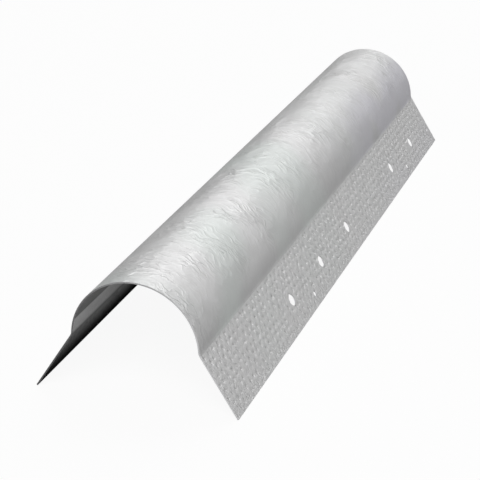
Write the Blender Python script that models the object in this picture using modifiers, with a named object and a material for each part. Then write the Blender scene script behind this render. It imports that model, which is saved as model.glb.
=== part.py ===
"""Bullnose drywall corner bead: one strip of galvanised sheet steel, roll-formed and punched.

A half-round nose runs the whole length. At each side of it the sheet turns back outwards and
goes on as a flat nailing flange with two rows of punched holes.
Metres, +Z up. The bead lies nose up on the edges of its flanges, as it rests on a floor.
It runs along Y. The origin is on the floor, under the middle of the bead.
"""

import math

import bmesh
import bpy
from mathutils import Matrix, Vector

# The strip
LENGTH = 0.254
SHEET_THICKNESS = 0.00045

# The section, measured on the outer face
NOSE_RADIUS = 0.01905
NOSE_HALF_ANGLE = math.radians(86.3)
RETURN_BEND_RADIUS = 0.0025
FLANGE_WIDTH = 0.0205
FLANGE_LEAN = math.radians(32.6)

# The punched holes: a row of nail holes, and a row of key holes for the compound near the edge
NAIL_HOLE_RADIUS = 0.0020
KEY_HOLE_RADIUS = 0.00105
NAIL_ROW_FROM_EDGE = 0.0088
KEY_ROW_FROM_EDGE = 0.0037
HOLE_PITCH = 0.0323
FIRST_NAIL_HOLE = 0.0646
NAIL_HOLES_IN_GROUP = 3
PITCHES_IN_GROUP = 4
KEY_HOLE_AFTER_PITCHES = 0.5
PUNCH_OVERRUN = 0.0010

# The facets of the round shapes
NOSE_FACET = math.radians(3.0)
BEND_FACET = math.radians(8.0)
NAIL_HOLE_SIDES = 32
KEY_HOLE_SIDES = 20

GALVANISED_COLOUR = (0.60, 0.61, 0.61, 1.0)
GALVANISED_ROUGHNESS = 0.42
GALVANISED_METALLIC = 0.85

MERGE_DISTANCE = 0.00001


def clear_scene():
    for old in list(bpy.data.objects):
        bpy.data.objects.remove(old)


def new_collection(name):
    collection = bpy.data.collections.new(name)
    bpy.context.scene.collection.children.link(collection)
    return collection


def galvanised_steel():
    material = bpy.data.materials.new("galvanised_steel")
    material.use_nodes = True
    shader = material.node_tree.nodes["Principled BSDF"]
    shader.inputs["Base Color"].default_value = GALVANISED_COLOUR
    shader.inputs["Roughness"].default_value = GALVANISED_ROUGHNESS
    shader.inputs["Metallic"].default_value = GALVANISED_METALLIC
    return material


def arc(centre, radius, start, end, facet):
    """Points (x, z) round centre. Angles are turned from +Z towards +X."""
    steps = max(2, math.ceil(abs(end - start) / facet))
    angles = [start + (end - start) * i / steps for i in range(steps + 1)]
    return [
        (centre[0] + radius * math.sin(a), centre[1] + radius * math.cos(a)) for a in angles
    ]


def flange_start():
    """Where the return bend meets the flat flange on the +X side, with the nose's centre at (0, 0)."""
    reach = NOSE_RADIUS + RETURN_BEND_RADIUS
    return Vector(
        (
            reach * math.sin(NOSE_HALF_ANGLE) - RETURN_BEND_RADIUS * math.cos(FLANGE_LEAN),
            reach * math.cos(NOSE_HALF_ANGLE) - RETURN_BEND_RADIUS * math.sin(FLANGE_LEAN),
        )
    )


def flange_direction():
    """Down the flange on the +X side, from the bend to its edge, as (x, z)."""
    return Vector((math.sin(FLANGE_LEAN), -math.cos(FLANGE_LEAN)))


def flange_normal():
    """Out of the flange's outer face on the +X side, as (x, z)."""
    return Vector((math.cos(FLANGE_LEAN), math.sin(FLANGE_LEAN)))


def nose_centre_height():
    """The flange's lowest corner, on its inner face, stands on the floor."""
    edge = flange_start() + flange_direction() * FLANGE_WIDTH
    inner_corner = edge - flange_normal() * SHEET_THICKNESS
    return -min(edge.y, inner_corner.y)


def half_section():
    """The outer face of the +X half, from the crown down to the flange's edge, as (x, z)."""
    nose = arc((0.0, 0.0), NOSE_RADIUS, 0.0, NOSE_HALF_ANGLE, NOSE_FACET)
    reach = NOSE_RADIUS + RETURN_BEND_RADIUS
    bend_centre = (reach * math.sin(NOSE_HALF_ANGLE), reach * math.cos(NOSE_HALF_ANGLE))
    bend_start = NOSE_HALF_ANGLE - math.pi
    bend_end = -math.pi / 2 - FLANGE_LEAN
    bend = arc(bend_centre, RETURN_BEND_RADIUS, bend_start, bend_end, BEND_FACET)
    edge = flange_start() + flange_direction() * FLANGE_WIDTH
    return [*nose, *bend[1:], tuple(edge)]


def rolled_strip(collection):
    """The whole strip before punching: half a section, drawn along Y, mirrored and given its thickness."""
    centre_height = nose_centre_height()
    mesh = bpy.data.meshes.new("bullnose_corner_bead")
    form = bmesh.new()
    points = [
        form.verts.new((x, -LENGTH / 2, z + centre_height)) for x, z in half_section()
    ]
    for upper, lower in zip(points, points[1:]):
        form.edges.new((upper, lower))
    form.to_mesh(mesh)
    form.free()
    strip = bpy.data.objects.new("bullnose_corner_bead", mesh)
    collection.objects.link(strip)

    draw = strip.modifiers.new("draw_along_y", "SCREW")
    draw.axis = "Y"
    draw.angle = 0.0
    draw.screw_offset = LENGTH
    draw.steps = draw.render_steps = 1
    draw.use_merge_vertices = False
    draw.use_smooth_shade = False

    mirror = strip.modifiers.new("other_half", "MIRROR")
    mirror.use_axis = (True, False, False)
    mirror.merge_threshold = MERGE_DISTANCE

    thickness = strip.modifiers.new("sheet_thickness", "SOLIDIFY")
    thickness.thickness = SHEET_THICKNESS
    thickness.offset = -1.0
    thickness.use_even_offset = True
    return strip


def hole_places():
    """(name, radius, sides, distance along the bead, distance from the flange's edge) for one flange.

    A hole that would come too near the far end is left out.
    """
    places = []
    group = 0
    while FIRST_NAIL_HOLE + group * PITCHES_IN_GROUP * HOLE_PITCH < LENGTH:
        start = FIRST_NAIL_HOLE + group * PITCHES_IN_GROUP * HOLE_PITCH
        for i in range(NAIL_HOLES_IN_GROUP):
            along = start + i * HOLE_PITCH
            places.append(("nail", NAIL_HOLE_RADIUS, NAIL_HOLE_SIDES, along, NAIL_ROW_FROM_EDGE))
        along = start + KEY_HOLE_AFTER_PITCHES * HOLE_PITCH
        places.append(("key", KEY_HOLE_RADIUS, KEY_HOLE_SIDES, along, KEY_ROW_FROM_EDGE))
        group += 1
    return [p for p in places if p[3] + 2 * p[1] < LENGTH]


def punch(collection, name, radius, sides, along, from_edge, side):
    """A cylinder square to the flange, centred in the sheet and passing both of its faces."""
    outwards = flange_normal()
    outer_face = flange_start() + flange_direction() * (FLANGE_WIDTH - from_edge)
    at = outer_face - outwards * SHEET_THICKNESS / 2
    length = SHEET_THICKNESS + 2 * PUNCH_OVERRUN
    mesh = bpy.data.meshes.new(name)
    form = bmesh.new()
    bmesh.ops.create_cone(
        form,
        cap_ends=True,
        segments=sides,
        radius1=radius,
        radius2=radius,
        depth=length,
    )
    form.to_mesh(mesh)
    form.free()
    cutter = bpy.data.objects.new(name, mesh)
    axis = Vector((side * outwards.x, 0.0, outwards.y))
    place = Vector((side * at.x, along - LENGTH / 2, at.y + nose_centre_height()))
    turn = axis.to_track_quat("Z", "Y").to_matrix().to_4x4()
    cutter.matrix_world = Matrix.Translation(place) @ turn
    cutter.hide_render = True
    cutter.display_type = "WIRE"
    collection.objects.link(cutter)


def punch_holes(strip, cutters):
    for side, side_name in ((1, "right"), (-1, "left")):
        for number, (kind, radius, sides, along, from_edge) in enumerate(hole_places()):
            name = f"{kind}_punch_{side_name}_{number}"
            punch(cutters, name, radius, sides, along, from_edge, side)
    holes = strip.modifiers.new("punched_holes", "BOOLEAN")
    holes.operation = "DIFFERENCE"
    holes.operand_type = "COLLECTION"
    holes.collection = cutters
    holes.solver = "EXACT"


def main():
    clear_scene()
    parts = new_collection("bullnose_corner_bead")
    cutters = new_collection("hole_punches")
    strip = rolled_strip(parts)
    strip.data.materials.append(galvanised_steel())
    punch_holes(strip, cutters)


main()
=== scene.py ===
"""Bullnose drywall corner bead, dressed for a studio picture.

The bead is one strip of galvanised sheet steel. Its nose is smooth and faintly rippled, and its
flanges are knurled with rows of small pits and punched with nail holes and key holes.
Everything is in metres, +Z up, with the bead lying nose up along Y.
"""

import math

import bmesh
import bpy
from bpy.props import FloatProperty, FloatVectorProperty, IntProperty, PointerProperty
from bpy.types import Operator, Panel, PropertyGroup
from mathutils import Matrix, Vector, noise


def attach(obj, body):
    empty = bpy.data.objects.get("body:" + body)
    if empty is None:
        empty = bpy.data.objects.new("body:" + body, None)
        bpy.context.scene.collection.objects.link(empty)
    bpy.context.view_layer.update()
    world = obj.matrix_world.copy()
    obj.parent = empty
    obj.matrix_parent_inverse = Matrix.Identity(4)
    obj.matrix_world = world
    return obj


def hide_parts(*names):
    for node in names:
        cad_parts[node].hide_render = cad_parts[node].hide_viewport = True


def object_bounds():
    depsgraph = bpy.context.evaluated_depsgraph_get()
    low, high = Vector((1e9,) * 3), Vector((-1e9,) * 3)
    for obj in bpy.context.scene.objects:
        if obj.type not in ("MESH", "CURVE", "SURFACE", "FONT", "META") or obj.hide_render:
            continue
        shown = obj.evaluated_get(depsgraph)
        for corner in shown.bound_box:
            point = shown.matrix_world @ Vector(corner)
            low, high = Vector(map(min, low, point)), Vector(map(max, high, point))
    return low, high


bl_info = {
    "name": "Bullnose Corner Bead",
    "version": (1, 0, 0),
    "blender": (4, 5, 0),
    "location": "3D View > Sidebar > Corner Bead",
    "description": "Models a galvanised bullnose corner bead and sets a plain studio round it",
    "category": "Object",
}

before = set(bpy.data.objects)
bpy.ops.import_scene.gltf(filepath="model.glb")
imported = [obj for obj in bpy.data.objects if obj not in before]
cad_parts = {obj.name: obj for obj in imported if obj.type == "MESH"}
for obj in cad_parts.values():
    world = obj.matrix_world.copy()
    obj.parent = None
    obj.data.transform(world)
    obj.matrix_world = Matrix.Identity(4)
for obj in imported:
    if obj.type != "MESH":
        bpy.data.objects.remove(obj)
cad_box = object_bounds()

CAD_NODE = "bullnose_corner_bead"
CAD_LENGTH = cad_box[1][1] - cad_box[0][1]

# The bead's material slots. The two inner slots and the two edge slots keep the order of the two
# outer ones, so the thickness can give the faces behind and at the rim a slot of their own.
SLOTS = range(6)
NOSE, FLANGE, NOSE_INSIDE, FLANGE_INSIDE, NOSE_EDGE, FLANGE_EDGE = SLOTS

# Points nearer to each other than this are one place
SAME_PLACE = 0.00001

# Each pit's depth as a share of the deepest, from level 0 to level 4
PIT_SHARES = (0.25, 0.45, 0.65, 0.85, 1.0)

# The bend and nose are straight along Y, so they keep only one cross line of the grid in 17
CROSS_LINES_PER_KEPT = 17

# The holes of a flange come in groups: nail holes at each pitch, a key hole part of a pitch after
# the first of them, and one pitch with no hole
NAIL_HOLES_IN_GROUP = 3
PITCHES_IN_GROUP = 4
KEY_HOLE_AFTER_PITCHES = 0.5
PUNCH_SIDES = 48
PUNCH_OVERRUN = 0.001

SMOOTH_BELOW = math.radians(40.0)

WHITE = (1.0, 1.0, 1.0, 1.0)
BLACK = (0.0, 0.0, 0.0)
DULL_TINT = (0.3, 0.3, 0.3, 1.0)

FLOOR_WIDTH = 8.0
LAMPS_FACE = (0.0, 0.0, 0.02)

# The camera that the section was fitted with: metres, degrees, and millimetres for the lens
CAMERA_PLACE = (0.1471163, -0.4739174, 0.203803)
CAMERA_TURNS = (67.8742, -0.4549, 18.9832)
CAMERA_SENSOR = 36.0
CAMERA_LENS = 114.436
CAMERA_SHIFT = (0.00891, -0.01326)


class BeadSizes(PropertyGroup):
    sheet: FloatProperty(
        name="Sheet", description="Thickness of the sheet", default=0.00045, unit="LENGTH"
    )
    length: FloatProperty(
        name="Length", description="Length of the bead", default=CAD_LENGTH, unit="LENGTH"
    )
    nose_radius: FloatProperty(
        name="Nose Radius", description="Outer radius of the nose", default=0.01905, unit="LENGTH"
    )
    nose_half_angle: FloatProperty(
        name="Nose Half Angle",
        description="From the crown down to the return bend",
        default=math.radians(86.3),
        subtype="ANGLE",
    )
    bend_radius: FloatProperty(
        name="Return Bend Radius",
        description="Radius of the bend between nose and flange",
        default=0.0025,
        unit="LENGTH",
    )
    flange_width: FloatProperty(
        name="Flange Width",
        description="Flat width of each flange",
        default=0.0205,
        unit="LENGTH",
    )
    flange_lean: FloatProperty(
        name="Flange Lean",
        description="How far each flange leans from upright",
        default=math.radians(32.6),
        subtype="ANGLE",
    )
    nose_steps: IntProperty(
        name="Nose Steps", description="Facets in half of the nose", default=36
    )
    bend_steps: IntProperty(
        name="Bend Steps", description="Facets in each return bend", default=6
    )


class KnurlSizes(PropertyGroup):
    cells_along: IntProperty(
        name="Cells Along", description="Grid cells along the flange", default=459
    )
    cells_across: IntProperty(
        name="Cells Across", description="Grid cells across the flange", default=38
    )
    cells_per_pitch: IntProperty(
        name="Cells per Pitch", description="Grid cells from one pit to the next", default=6
    )
    cells_per_row: IntProperty(
        name="Cells per Row", description="Grid cells from one row of pits to the next", default=4
    )
    first_cell: IntProperty(
        name="First Cell", description="Grid line of the first pit, each way", default=2
    )
    depth: FloatProperty(
        name="Pit Depth", description="Depth of the deepest pits", default=0.00036, unit="LENGTH"
    )
    reach: FloatProperty(
        name="Pit Reach", description="Radius of each pit", default=0.00076, unit="LENGTH"
    )


class HoleSizes(PropertyGroup):
    nail_radius: FloatProperty(
        name="Nail Hole Radius", description="Radius of a nail hole", default=0.0020, unit="LENGTH"
    )
    key_radius: FloatProperty(
        name="Key Hole Radius",
        description="Radius of a small key hole",
        default=0.00105,
        unit="LENGTH",
    )
    nail_from_edge: FloatProperty(
        name="Nail Row from Edge",
        description="Nail holes from the flange's edge",
        default=0.0088,
        unit="LENGTH",
    )
    key_from_edge: FloatProperty(
        name="Key Row from Edge",
        description="Key holes from the flange's edge",
        default=0.0037,
        unit="LENGTH",
    )
    pitch: FloatProperty(
        name="Hole Pitch", description="From one hole to the next", default=0.0323, unit="LENGTH"
    )
    first: FloatProperty(
        name="First Nail Hole",
        description="First nail hole from the near end",
        default=0.0646,
        unit="LENGTH",
    )


class FinishColours(PropertyGroup):
    zinc: FloatVectorProperty(
        name="Zinc",
        description="Zinc coating on the outside",
        subtype="COLOR",
        size=3,
        min=0.0,
        max=1.0,
        default=(0.533, 0.532, 0.533),
    )
    zinc_bright: FloatVectorProperty(
        name="Bright Zinc",
        description="Zinc coating where it is brightest",
        subtype="COLOR",
        size=3,
        min=0.0,
        max=1.0,
        default=(0.643, 0.642, 0.643),
    )
    green_film: FloatVectorProperty(
        name="Green Film",
        description="Zinc with a faint green passivation film",
        subtype="COLOR",
        size=3,
        min=0.0,
        max=1.0,
        default=(0.565, 0.595, 0.58),
    )
    violet_film: FloatVectorProperty(
        name="Violet Film",
        description="Zinc with a faint violet passivation film",
        subtype="COLOR",
        size=3,
        min=0.0,
        max=1.0,
        default=(0.58, 0.575, 0.61),
    )
    # The inner face is painted from black up to this colour: painted shade down the flanges, palest
    # in a painted reflection band on the nose
    inside: FloatVectorProperty(
        name="Inside",
        description="Coating on the inner face where it is palest",
        subtype="COLOR",
        size=3,
        min=0.0,
        max=1.0,
        default=(0.95, 0.95, 0.95),
    )
    cut_edge: FloatVectorProperty(
        name="Cut Edge",
        description="Bare steel where the sheet is cut",
        subtype="COLOR",
        size=3,
        min=0.0,
        max=1.0,
        default=(0.34, 0.34, 0.345),
    )


class StudioSettings(PropertyGroup):
    floor: FloatVectorProperty(
        name="Floor",
        description="Colour of the plain floor",
        subtype="COLOR",
        size=3,
        min=0.0,
        max=1.0,
        default=(0.62, 0.62, 0.62),
    )
    floor_bounce: FloatVectorProperty(
        name="Floor Bounce",
        description="Floor colour that diffuse light picks up",
        subtype="COLOR",
        size=3,
        min=0.0,
        max=1.0,
        default=(0.30, 0.30, 0.30),
    )
    floor_glow: FloatProperty(
        name="Floor Glow",
        description="Share of the floor that is plain white to the camera and in reflections",
        default=0.93,
        subtype="FACTOR",
    )
    world_strength: FloatProperty(
        name="World Strength", description="Light from all round", default=0.02
    )
    front_power: FloatProperty(
        name="Front Softbox", description="Power of the softbox above the near end", default=39.3
    )
    back_power: FloatProperty(
        name="Back Softbox", description="Power of the softbox above the far end", default=9.6
    )
    right_power: FloatProperty(
        name="Right Softbox", description="Power of the softbox far off at the right", default=4.9
    )


def deselect_all():
    bpy.ops.object.select_all(action="DESELECT")


def activate(obj):
    deselect_all()
    obj.select_set(True)
    bpy.context.view_layer.objects.active = obj


def pick(kind, test):
    """In edit mode, select just the vertices, edges or faces that pass the test."""
    bpy.ops.mesh.select_mode(type=kind)
    bpy.ops.mesh.select_all(action="DESELECT")
    mesh = bpy.context.edit_object.data
    form = bmesh.from_edit_mesh(mesh)
    for part in {"VERT": form.verts, "EDGE": form.edges, "FACE": form.faces}[kind]:
        if test(part):
            part.select_set(True)
    form.select_flush_mode()
    bmesh.update_edit_mesh(mesh)


def apply_modifier(obj, kind, **settings):
    activate(obj)
    bpy.ops.object.modifier_add(type=kind)
    modifier = obj.modifiers[-1]
    for name, value in settings.items():
        setattr(modifier, name, value)
    bpy.ops.object.modifier_apply(modifier=modifier.name)


class Section:
    """Where the +X half of the bead's section has its bends, as (x, z) on the outer face."""

    def __init__(self, sizes):
        half, lean = sizes.nose_half_angle, sizes.flange_lean
        reach = sizes.nose_radius + sizes.bend_radius
        self.down = Vector((math.sin(lean), -math.cos(lean)))
        self.out = Vector((math.cos(lean), math.sin(lean)))
        bend = Vector((reach * math.sin(half), reach * math.cos(half)))
        start = bend - self.out * sizes.bend_radius
        edge = start + self.down * sizes.flange_width
        lift = Vector((0.0, -(edge - self.out * sizes.sheet).y))
        self.nose_centre = lift
        self.bend_centre = bend + lift
        self.flange_start = start + lift
        self.bend_turn = math.pi / 2 + lean - (math.pi - half)


# Shader tools


class Value:
    """One number socket. Arithmetic on it adds Math nodes."""

    def __init__(self, shader, socket):
        self.shader = shader
        self.socket = socket

    def _math(self, operation, *others, clamp=False):
        settings = {"operation": operation, "use_clamp": clamp}
        node = self.shader.add("ShaderNodeMath", settings, dict(enumerate((self, *others))))
        return Value(self.shader, node.outputs[0])

    def __add__(self, other):
        return self._math("ADD", other)

    __radd__ = __add__

    def __mul__(self, other):
        return self._math("MULTIPLY", other)

    __rmul__ = __mul__

    def __sub__(self, other):
        return self._math("SUBTRACT", other)

    def __rsub__(self, other):
        return (self * -1.0) + other

    def __pow__(self, other):
        return self._math("POWER", other)

    def size(self):
        """The number without its sign."""
        return self._math("ABSOLUTE")

    def clamp(self):
        """The number, held between 0 and 1."""
        return self._math("ADD", 0.0, clamp=True)

    def angle_from(self, other):
        """The angle of (other, self) from other's axis, in radians."""
        return self._math("ARCTAN2", other)

    def ramp(self, low, high, to_low=0.0, to_high=1.0):
        """A smooth step: to_low where the number is low, and to_high where it is high."""
        values = {"Value": self, 1: low, 2: high, 3: to_low, 4: to_high}
        node = self.shader.add("ShaderNodeMapRange", {"interpolation_type": "SMOOTHSTEP"}, values)
        return Value(self.shader, node.outputs[0])


class Shader:
    """A material's nodes."""

    def __init__(self, name):
        self.material = bpy.data.materials.new(name)
        self.material.use_nodes = True
        self.tree = self.material.node_tree
        self.tree.nodes.clear()

    def add(self, kind, settings=None, values=None):
        """Add a node, set it up, and fill or link its input sockets."""
        node = self.tree.nodes.new(kind)
        for name, value in (settings or {}).items():
            setattr(node, name, value)
        for key, value in (values or {}).items():
            socket = node.inputs[key]
            if isinstance(value, Value):
                self.tree.links.new(value.socket, socket)
            elif isinstance(value, bpy.types.NodeSocket):
                self.tree.links.new(value, socket)
            else:
                socket.default_value = value
        return node

    def place(self):
        """Object coordinates, in metres, as three numbers."""
        coordinates = self.add("ShaderNodeTexCoord").outputs["Object"]
        parts = self.add("ShaderNodeSeparateXYZ", values={0: coordinates}).outputs
        return [Value(self, part) for part in parts]

    def vector(self, x, y, z):
        return self.add("ShaderNodeCombineXYZ", values={0: x, 1: y, 2: z}).outputs[0]

    def noise(self, vector, scale=1.0, detail=2.0, roughness=0.5, distortion=0.0):
        values = {
            "Vector": vector,
            "Scale": scale,
            "Detail": detail,
            "Roughness": roughness,
            "Distortion": distortion,
        }
        return Value(self, self.add("ShaderNodeTexNoise", values=values).outputs[0])

    def grained(self, first, second, scales, seed=0.0, **settings):
        """Noise over two directions of a surface, with a scale per metre for each."""
        place = self.vector(first * scales[0], second * scales[1], seed)
        return self.noise(place, **settings)

    def blend(self, amount, first, second):
        """Mix two colours, each a socket or (r, g, b)."""
        sockets = {0: amount, 6: rgba(first), 7: rgba(second)}
        node = self.add("ShaderNodeMix", {"data_type": "RGBA"}, sockets)
        return node.outputs[2]

    def bump(self, height, distance, strength=1.0, normal=None):
        values = {"Height": height, "Distance": distance, "Strength": strength}
        if normal is not None:
            values["Normal"] = normal
        return self.add("ShaderNodeBump", values=values).outputs[0]

    def finish(self, surface):
        self.add("ShaderNodeOutputMaterial", values={"Surface": surface})
        return self.material

    def principled(self, specular_level, **values):
        """Close the material. The names are the shader's sockets, as in base_color."""
        named = {name.replace("_", " ").title(): value for name, value in values.items()}
        named["Specular IOR Level"] = specular_level
        return self.finish(self.add("ShaderNodeBsdfPrincipled", values=named).outputs[0])


def rgba(colour):
    """A socket as it is, or a plain colour with its alpha."""
    if isinstance(colour, bpy.types.NodeSocket):
        return colour
    return (*tuple(colour)[:3], 1.0)


def toned(colour, factor):
    """A plain colour made darker, or brighter where the factor is over 1."""
    return tuple(channel * factor for channel in tuple(colour)[:3])


# Finishes


def unrolled(shader, centre_height, radius):
    """Distance round the nose from its crown, and distance along the bead, both in metres."""
    x, y, z = shader.place()
    return x.angle_from(z - centre_height) * radius, y


def filmed(shader, colour, around, along, colours, share=1.0):
    """Tint a colour with green film, mostly at the near end, and violet film at the far end."""
    place = shader.vector(around, along, 0.0)
    near = along.ramp(-0.03, 0.06, 1.0, 0.2)
    far = along.ramp(0.0, 0.08) * around.ramp(0.004, 0.018)
    green = shader.noise(place, scale=24.0, detail=1.0).ramp(0.40, 0.62, 0.0, 0.7) * near
    violet = shader.noise(place, scale=32.0, detail=1.0).ramp(0.62, 0.42, 0.0, 0.9) * far
    colour = shader.blend(green * share, colour, colours.green_film)
    return shader.blend(violet * share, colour, colours.violet_film)


def nose_zinc(colours, section, sizes):
    """Smooth zinc with short, fine creases that run round the nose, and painted shade towards the
    return bends.
    """
    shader = Shader("nose_zinc")
    around, along = unrolled(shader, section.nose_centre.y, sizes.nose_radius)

    from_crown = around.size()

    # The creases: thin lines where a stretched noise, bent by a wider one, is near its middle
    drift = shader.grained(around, along, (110.0, 90.0))
    bent = along + (drift - 0.5) * 0.010
    folds = shader.grained(around, bent, (130.0, 390.0), distortion=0.4)
    crease = (1.0 - (folds * 2.0 - 1.0).size() * 3.0).clamp() ** 2.0
    patches = shader.grained(around, along, (90.0, 75.0), seed=4.0)
    lively = patches.ramp(0.36, 0.66, 0.25, 1.0) * from_crown.ramp(0.016, 0.028, 1.0, 0.55)
    cloud = shader.grained(around, along, (70.0, 55.0), seed=9.0, detail=4.0, roughness=0.6)
    cloud = cloud.ramp(0.34, 0.66)
    grain = shader.grained(around, along, (2600.0, 3400.0), seed=2.0, roughness=0.6)

    # The creases are bumps and are also painted lighter in the tone, a painted highlight along them
    tone = (0.22 + cloud * 0.38 + grain * 0.15 + (crease - 0.12) * lively * 0.6).clamp()
    unshaded_zinc = shader.blend(tone, colours.zinc, colours.zinc_bright)
    # Painted shade: towards the return bend the colour is darkened to 0.87 of itself
    bend_shade_factor = 0.87
    painted_bend_shade = shader.blend(tone, toned(colours.zinc, bend_shade_factor), toned(colours.zinc_bright, bend_shade_factor))
    bend_shade_mask = from_crown.ramp(0.0215, 0.0280)
    colour = shader.blend(bend_shade_mask, unshaded_zinc, painted_bend_shade)
    colour = filmed(shader, colour, around, along, colours)
    roughness = 0.46 + cloud * 0.06 + grain * 0.06 - crease * lively * 0.08
    height = (folds * 0.5 + crease * 0.5) * lively
    waves = shader.bump(drift, distance=0.00060, strength=0.8)
    creases = shader.bump(height, distance=0.00036, strength=0.8, normal=waves)
    normal = shader.bump(grain, distance=0.00002, strength=0.35, normal=creases)
    return shader.principled(
        base_color=colour,
        metallic=0.50,
        roughness=roughness,
        specular_level=0.2,
        specular_tint=DULL_TINT,
        normal=normal,
    )


def flange_zinc(colours, section):
    """Matt zinc, brushed down the flange, rougher in the pits and darker there as painted shade,
    and finely speckled.
    """
    shader = Shader("flange_zinc")
    x, y, z = shader.place()
    across = x.size() - section.flange_start.x
    rise = z - section.flange_start.y
    down = across * section.down.x + rise * section.down.y
    above = across * section.out.x + rise * section.out.y

    open_face = above.ramp(-0.00022, -0.00003)
    cloud = shader.grained(down, y, (120.0, 80.0), seed=5.0, detail=4.0, roughness=0.6)
    brushed = shader.grained(down, y, (360.0, 1800.0), detail=3.0, roughness=0.6, distortion=0.4)
    specks = shader.grained(down, y, (540.0, 980.0), seed=8.0, detail=1.0, distortion=0.2)
    specks = specks.ramp(0.50, 0.68)
    grain = shader.grained(down, y, (2200.0, 2600.0), seed=3.0, roughness=0.65)

    # The pits are painted darker than the open face: painted shade
    tone = (open_face * 0.20 + cloud * 0.20 + brushed * 0.35 + grain * 0.35).ramp(0.26, 0.90)
    colour = shader.blend(tone, toned(colours.zinc, 0.90), toned(colours.zinc_bright, 1.03))
    colour = filmed(shader, colour, down, y, colours, share=0.25)
    roughness = 0.40 - open_face * 0.04 + grain * 0.10
    speck_depth = down.ramp(0.0160, 0.0190, 0.00010, 0.00022)
    relief = above * 1.2 - specks * speck_depth
    pressed = shader.bump(relief, distance=1.0, strength=0.9)
    lines = shader.bump(brushed, distance=0.00020, strength=0.8, normal=pressed)
    normal = shader.bump(grain, distance=0.00004, strength=0.5, normal=lines)
    return shader.principled(
        base_color=colour,
        metallic=0.35,
        roughness=roughness,
        specular_level=0.2,
        specular_tint=DULL_TINT,
        normal=normal,
    )


def inside_zinc_painted_light(colours):
    """Satin zinc with painted light: painted shade makes it dark down the flanges, and a painted
    reflection makes a pale band low on the nose.
    """
    shader = Shader("inside_zinc_painted_light")
    x, y, z = shader.place()
    cloud = shader.noise(shader.vector(x * 90.0, y * 30.0, z * 90.0), detail=4.0, roughness=0.6)
    grain = shader.noise(shader.vector(x * 1800.0, y * 1200.0, z * 1800.0), roughness=0.6)

    # Painted shade: the tone darkens towards the bottom, near black low on the flanges and a little
    # lighter on the nose
    flange = z.ramp(0.002, 0.021)
    nose = z.ramp(0.0178, 0.0192)
    # Painted reflection: a pale band low on the nose
    painted_reflection_band = nose * (1.0 - z.ramp(0.0225, 0.0231))
    mottle = 0.85 + (cloud * 0.7 + grain * 0.3).ramp(0.3, 0.7) * 0.3
    tone = ((0.02 + flange * 0.13 + nose * 0.06 + painted_reflection_band * 0.34) * mottle).clamp()
    colour = shader.blend(tone, BLACK, colours.inside)
    # The metallic share falls towards the bottom, so the low flanges reflect less and look darker
    sheen = z.ramp(0.003, 0.0182, 0.025, 0.33)
    roughness = 0.50 + grain * 0.12
    normal = shader.bump(grain, distance=0.00003, strength=0.4)
    return shader.principled(
        base_color=colour, metallic=sheen, roughness=roughness, specular_level=0.0, normal=normal
    )


def cut_steel(colours):
    """Bare, finely scratched steel, darker towards the left."""
    shader = Shader("cut_steel")
    x, y, z = shader.place()
    scratches = shader.noise(shader.vector(x * 2400.0, y * 2400.0, z * 5200.0), roughness=0.6)
    bright = (x.ramp(-0.026, 0.026) * 0.85 + scratches * 0.3).clamp()
    colour = shader.blend(bright, toned(colours.cut_edge, 0.06), toned(colours.cut_edge, 1.7))
    roughness = 0.34 + scratches * 0.12
    normal = shader.bump(scratches, distance=0.00002, strength=0.4)
    return shader.principled(
        base_color=colour, metallic=0.3, roughness=roughness, specular_level=0.1, normal=normal
    )


class CORNERBEAD_OT_bead(Operator):
    """Model the bead: knurled flange, return bend and nose, mirrored, thickened and punched"""

    bl_idname = "corner_bead.bead"
    bl_label = "Bead"
    bl_options = {"REGISTER", "UNDO"}

    def execute(self, context):
        scene = context.scene
        sizes, knurl, holes = scene.bead_sizes, scene.knurl_sizes, scene.hole_sizes
        section = Section(sizes)
        bead = flat_flange(sizes, knurl)
        press_knurl(bead, sizes, knurl)
        lean_flange(bead, section)
        spin_bend_and_nose(bead, sizes, knurl, section)
        finish_sheet(bead, sizes, knurl)
        punch_holes(bead, sizes, holes, section)
        dress(bead, scene.finish_colours, section, sizes)
        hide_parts(CAD_NODE)
        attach(bead, "root")
        return {"FINISHED"}


def flat_flange(sizes, knurl):
    """The flange as a flat grid: +X runs from the bend to the edge, +Z is the outer face."""
    deselect_all()
    bpy.ops.mesh.primitive_grid_add(
        x_subdivisions=knurl.cells_across,
        y_subdivisions=knurl.cells_along,
        size=1.0,
        location=(sizes.flange_width / 2, 0.0, 0.0),
    )
    bead = bpy.context.active_object
    bead.name = "bullnose_bead"
    bead.data.name = "bullnose_bead"
    bead.scale = (sizes.flange_width, sizes.length, 1.0)
    bpy.ops.object.transform_apply(location=True, rotation=True, scale=True)
    return bead


def pit_levels(knurl):
    """{(line across, line along): the pit's level in PIT_SHARES}.

    The pits lie in staggered rows, and the rows near the edge are shallow. Their depth changes in
    patches along the flange, some lie a grid line out of place, and some are two grid lines tall.
    """
    usual_level, patch_levels, own_levels = 2.7, 1.5, 3.4
    stray_lines = 2.4
    edge_lines_per_level = 3
    levels = {}
    margin = knurl.first_cell
    for row, i in enumerate(range(margin, knurl.cells_across, knurl.cells_per_row)):
        stagger = knurl.cells_per_pitch // 2 if row % 2 else 0
        deepest = min(len(PIT_SHARES) - 1, (knurl.cells_across - i) // edge_lines_per_level)
        places = range(margin + stagger, knurl.cells_along - 2 * margin, knurl.cells_per_pitch)
        for number, j in enumerate(places):
            # One slow noise makes the patches, and three quick ones set each pit apart
            patch = noise.noise(Vector((row * 0.45, number * 0.22, 3.7)))
            own = noise.noise(Vector((row * 5.3, number * 3.1, 8.2)))
            stray = noise.noise(Vector((row * 7.1, number * 4.3, 1.4)))
            tall = noise.noise(Vector((row * 3.9, number * 5.7, 6.6)))
            line = j + round(stray_lines * stray) if j > margin else j
            level = int(usual_level + patch_levels * patch + own_levels * own)
            level = max(0, min(deepest, level))
            levels[(i, line)] = level
            if tall > 0.0:
                levels[(i + 1, line)] = max(0, level - 1)
    return levels


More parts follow.
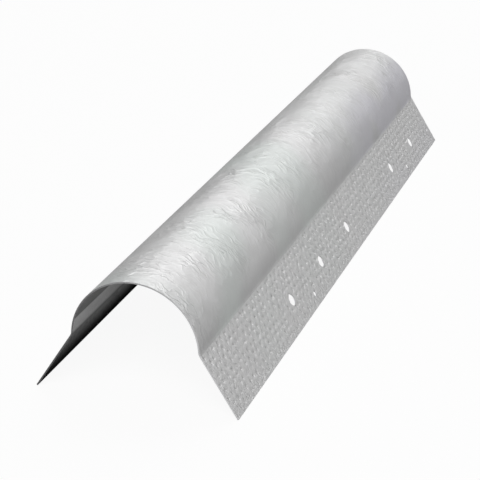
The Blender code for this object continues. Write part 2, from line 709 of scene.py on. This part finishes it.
def press_knurl(bead, sizes, knurl):
    """Push the grid points of the pits in, with a soft falloff round each."""
    levels = pit_levels(knurl)
    across = sizes.flange_width / knurl.cells_across
    along = sizes.length / knurl.cells_along

    def level_at(vertex):
        place = round(vertex.co.x / across), round((vertex.co.y + sizes.length / 2) / along)
        return levels.get(place)

    activate(bead)
    bpy.ops.object.mode_set(mode="EDIT")
    for level, share in enumerate(PIT_SHARES):
        pick("VERT", lambda vertex: level_at(vertex) == level)
        bpy.ops.transform.translate(
            value=(0.0, 0.0, -knurl.depth * share),
            use_proportional_edit=True,
            proportional_edit_falloff="SMOOTH",
            proportional_size=knurl.reach,
        )
    bpy.ops.object.mode_set(mode="OBJECT")


def lean_flange(bead, section):
    """Lean the flange, and put its top border where the return bend starts."""
    activate(bead)
    bead.rotation_euler = (0.0, math.atan2(-section.down.y, section.down.x), 0.0)
    bead.location = (section.flange_start.x, 0.0, section.flange_start.y)
    bpy.ops.object.transform_apply(location=True, rotation=True, scale=True)


def spin_bend_and_nose(bead, sizes, knurl, section):
    """Spin the flange's top border round the return bend, and on round the nose to the crown."""
    along = sizes.length / knurl.cells_along
    activate(bead)
    bpy.ops.object.mode_set(mode="EDIT")

    def on_flange_start(edge):
        places = (Vector((v.co.x, v.co.z)) - section.flange_start for v in edge.verts)
        return all(place.length < SAME_PLACE for place in places)

    pick("EDGE", on_flange_start)
    bpy.ops.mesh.spin(
        steps=sizes.bend_steps,
        angle=-section.bend_turn,
        center=(section.bend_centre.x, 0.0, section.bend_centre.y),
        axis=(0.0, 1.0, 0.0),
    )
    bpy.ops.mesh.spin(
        steps=sizes.nose_steps,
        angle=sizes.nose_half_angle,
        center=(section.nose_centre.x, 0.0, section.nose_centre.y),
        axis=(0.0, 1.0, 0.0),
    )

    def down_flange(place):
        return (Vector((place.x, place.z)) - section.flange_start).dot(section.down)

    def spare_cross_line(edge):
        first, second = (v.co for v in edge.verts)
        if abs(first.y - second.y) > SAME_PLACE:
            return False
        middle = (first + second) / 2
        line = round((middle.y + sizes.length / 2) / along)
        return down_flange(middle) < -SAME_PLACE and line % CROSS_LINES_PER_KEPT != 0

    pick("EDGE", spare_cross_line)
    bpy.ops.mesh.dissolve_edges(use_verts=True)
    pick("FACE", lambda face: True)
    bpy.ops.mesh.normals_make_consistent(inside=False)
    form = bmesh.from_edit_mesh(bead.data)
    crown = max(form.faces, key=lambda face: face.calc_center_median().z)
    if crown.normal.z < 0:
        bpy.ops.mesh.flip_normals()
    bpy.ops.object.mode_set(mode="OBJECT")

    for face in bead.data.polygons:
        face.material_index = FLANGE if down_flange(face.center) > 0 else NOSE


def finish_sheet(bead, sizes, knurl):
    """Mirror the half, give it the sheet's thickness and square its cut ends."""
    for _ in SLOTS:
        bead.data.materials.append(None)
    apply_modifier(bead, "MIRROR", use_axis=(True, False, False), merge_threshold=SAME_PLACE)
    apply_modifier(
        bead,
        "SOLIDIFY",
        thickness=sizes.sheet,
        offset=-1.0,
        use_even_offset=True,
        use_rim=True,
        material_offset=NOSE_INSIDE,
        material_offset_rim=NOSE_EDGE,
    )

    # The thickness leans a little beside each end's pits, so both cut ends are set square again
    activate(bead)
    bpy.ops.object.mode_set(mode="EDIT")
    quarter_cell = sizes.length / knurl.cells_along / 4
    for end in (-sizes.length / 2, sizes.length / 2):
        pick("VERT", lambda vertex: abs(vertex.co.y - end) < quarter_cell)
        bpy.ops.transform.resize(value=(1.0, 0.0, 1.0), center_override=(0.0, end, 0.0))
    bpy.ops.object.mode_set(mode="OBJECT")


def hole_places(sizes, holes):
    """(radius, distance along the bead, distance from the flange's edge) of each hole."""
    places = []
    start = holes.first
    while start < sizes.length:
        for i in range(NAIL_HOLES_IN_GROUP):
            places.append((holes.nail_radius, start + i * holes.pitch, holes.nail_from_edge))
        key_hole = start + KEY_HOLE_AFTER_PITCHES * holes.pitch
        places.append((holes.key_radius, key_hole, holes.key_from_edge))
        start += PITCHES_IN_GROUP * holes.pitch
    return [
        (radius, along, from_edge)
        for radius, along, from_edge in places
        if along + 2 * radius < sizes.length
    ]


def punch_holes(bead, sizes, holes, section):
    """Cut the holes with one joined set of cylinders that stand square to the flanges."""
    deselect_all()
    punches = []
    for side in (1, -1):
        for radius, along, from_edge in hole_places(sizes, holes):
            at = section.flange_start + section.down * (sizes.flange_width - from_edge)
            at = at - section.out * sizes.sheet / 2
            bpy.ops.mesh.primitive_cylinder_add(
                vertices=PUNCH_SIDES,
                radius=radius,
                depth=sizes.sheet + 2 * PUNCH_OVERRUN,
                location=(side * at.x, along - sizes.length / 2, at.y),
                rotation=(0.0, side * math.atan2(section.out.x, section.out.y), 0.0),
            )
            punches.append(bpy.context.active_object)
    deselect_all()
    for punch in punches:
        punch.select_set(True)
    bpy.context.view_layer.objects.active = punches[0]
    bpy.ops.object.join()
    cutter = bpy.context.active_object
    for _ in SLOTS:
        cutter.data.materials.append(None)
    for face in cutter.data.polygons:
        face.material_index = FLANGE_EDGE
    apply_modifier(bead, "BOOLEAN", operation="DIFFERENCE", solver="EXACT", object=cutter)
    bpy.data.objects.remove(cutter)

    # Slivers at the rims are merged, and the faces that the rims cut through are split
    bpy.ops.object.mode_set(mode="EDIT")
    bpy.ops.mesh.select_all(action="SELECT")
    bpy.ops.mesh.remove_doubles(threshold=SAME_PLACE)
    bpy.ops.object.mode_set(mode="OBJECT")
    apply_modifier(bead, "TRIANGULATE", min_vertices=5, ngon_method="BEAUTY")


def dress(bead, colours, section, sizes):
    """Fill the slots with the finishes and smooth the shading."""
    nose = nose_zinc(colours, section, sizes)
    flange = flange_zinc(colours, section)
    inside = inside_zinc_painted_light(colours)
    edge = cut_steel(colours)
    for slot, material in enumerate((nose, flange, inside, inside, edge, edge)):
        bead.data.materials[slot] = material
    activate(bead)
    bpy.ops.object.shade_smooth_by_angle(angle=SMOOTH_BELOW)


class CORNERBEAD_OT_studio(Operator):
    """Lay the floor, hang the lamps and set the camera"""

    bl_idname = "corner_bead.studio"
    bl_label = "Studio"
    bl_options = {"REGISTER", "UNDO"}

    def execute(self, context):
        studio = context.scene.studio_settings
        lay_floor(studio)
        light_world(studio)
        softbox("front_softbox", (0.25, -1.25, 1.35), width=1.3, power=studio.front_power)
        softbox("back_softbox", (-0.15, 0.9, 1.0), width=1.0, power=studio.back_power)
        softbox("right_softbox", (0.8, 1.0, 0.8), width=1.0, power=studio.right_power)
        set_camera()
        context.scene.view_settings.view_transform = "Standard"
        return {"FINISHED"}


def lay_floor(studio):
    """A pale floor that keeps the bead's shadow, and is nearly white to the camera and to gloss."""
    deselect_all()
    bpy.ops.mesh.primitive_plane_add(size=FLOOR_WIDTH)
    floor = bpy.context.active_object
    floor.name = "floor"
    shader = Shader("plain_floor")
    path = shader.add("ShaderNodeLightPath").outputs
    camera, glossy, through = (
        Value(shader, path[name])
        for name in ("Is Camera Ray", "Is Glossy Ray", "Is Transmission Ray")
    )
    seen = (camera + glossy + through).clamp()
    colour = shader.blend(seen, studio.floor_bounce, studio.floor)
    matt = shader.add("ShaderNodeBsdfDiffuse", values={"Color": colour}).outputs[0]
    white = shader.add("ShaderNodeEmission", values={"Strength": 1.0}).outputs[0]
    mixed = shader.add(
        "ShaderNodeMixShader", values={0: seen * studio.floor_glow, 1: matt, 2: white}
    )
    floor.data.materials.append(shader.finish(mixed.outputs[0]))


def light_world(studio):
    """A dim, even world that is plain white to the camera."""
    world = bpy.data.worlds.new("studio")
    bpy.context.scene.world = world
    world.use_nodes = True
    nodes, links = world.node_tree.nodes, world.node_tree.links
    dim = nodes["Background"]
    white = nodes.new("ShaderNodeBackground")
    for background, strength in ((dim, studio.world_strength), (white, 1.0)):
        background.inputs["Color"].default_value = WHITE
        background.inputs["Strength"].default_value = strength
    path = nodes.new("ShaderNodeLightPath")
    mixed = nodes.new("ShaderNodeMixShader")
    links.new(path.outputs["Is Camera Ray"], mixed.inputs[0])
    links.new(dim.outputs[0], mixed.inputs[1])
    links.new(white.outputs[0], mixed.inputs[2])
    links.new(mixed.outputs[0], nodes["World Output"].inputs["Surface"])


def softbox(name, place, width, power):
    """A square area lamp that faces the middle of the bead."""
    towards = Vector(LAMPS_FACE) - Vector(place)
    deselect_all()
    bpy.ops.object.light_add(
        type="AREA", location=place, rotation=towards.to_track_quat("-Z", "Y").to_euler()
    )
    lamp = bpy.context.active_object
    lamp.name = name
    lamp.data.shape = "SQUARE"
    lamp.data.size = width
    lamp.data.energy = power


def set_camera():
    deselect_all()
    turns = tuple(math.radians(angle) for angle in CAMERA_TURNS)
    bpy.ops.object.camera_add(location=CAMERA_PLACE, rotation=turns)
    camera = bpy.context.active_object
    camera.name = "studio_camera"
    camera.data.sensor_width = CAMERA_SENSOR
    camera.data.lens = CAMERA_LENS
    camera.data.shift_x, camera.data.shift_y = CAMERA_SHIFT
    bpy.context.scene.camera = camera


class VIEW3D_PT_corner_bead(Panel):
    bl_label = "Corner Bead"
    bl_idname = "VIEW3D_PT_corner_bead"
    bl_space_type = "VIEW_3D"
    bl_region_type = "UI"
    bl_category = "Corner Bead"

    def draw(self, context):
        layout = self.layout
        scene = context.scene
        for settings in (
            scene.bead_sizes,
            scene.knurl_sizes,
            scene.hole_sizes,
            scene.finish_colours,
            scene.studio_settings,
        ):
            box = layout.box()
            for name in settings.__annotations__:
                box.prop(settings, name)
        layout.operator(CORNERBEAD_OT_bead.bl_idname)
        layout.operator(CORNERBEAD_OT_studio.bl_idname)


CLASSES = (
    BeadSizes,
    KnurlSizes,
    HoleSizes,
    FinishColours,
    StudioSettings,
    CORNERBEAD_OT_bead,
    CORNERBEAD_OT_studio,
    VIEW3D_PT_corner_bead,
)

GROUPS = {
    "bead_sizes": BeadSizes,
    "knurl_sizes": KnurlSizes,
    "hole_sizes": HoleSizes,
    "finish_colours": FinishColours,
    "studio_settings": StudioSettings,
}


def register():
    for cls in CLASSES:
        bpy.utils.register_class(cls)
    for name, group in GROUPS.items():
        setattr(bpy.types.Scene, name, PointerProperty(type=group))


def unregister():
    for name in GROUPS:
        delattr(bpy.types.Scene, name)
    for cls in reversed(CLASSES):
        bpy.utils.unregister_class(cls)


def main():
    register()
    bpy.ops.corner_bead.bead()
    bpy.ops.corner_bead.studio()


if __name__ == "__main__":
    main()
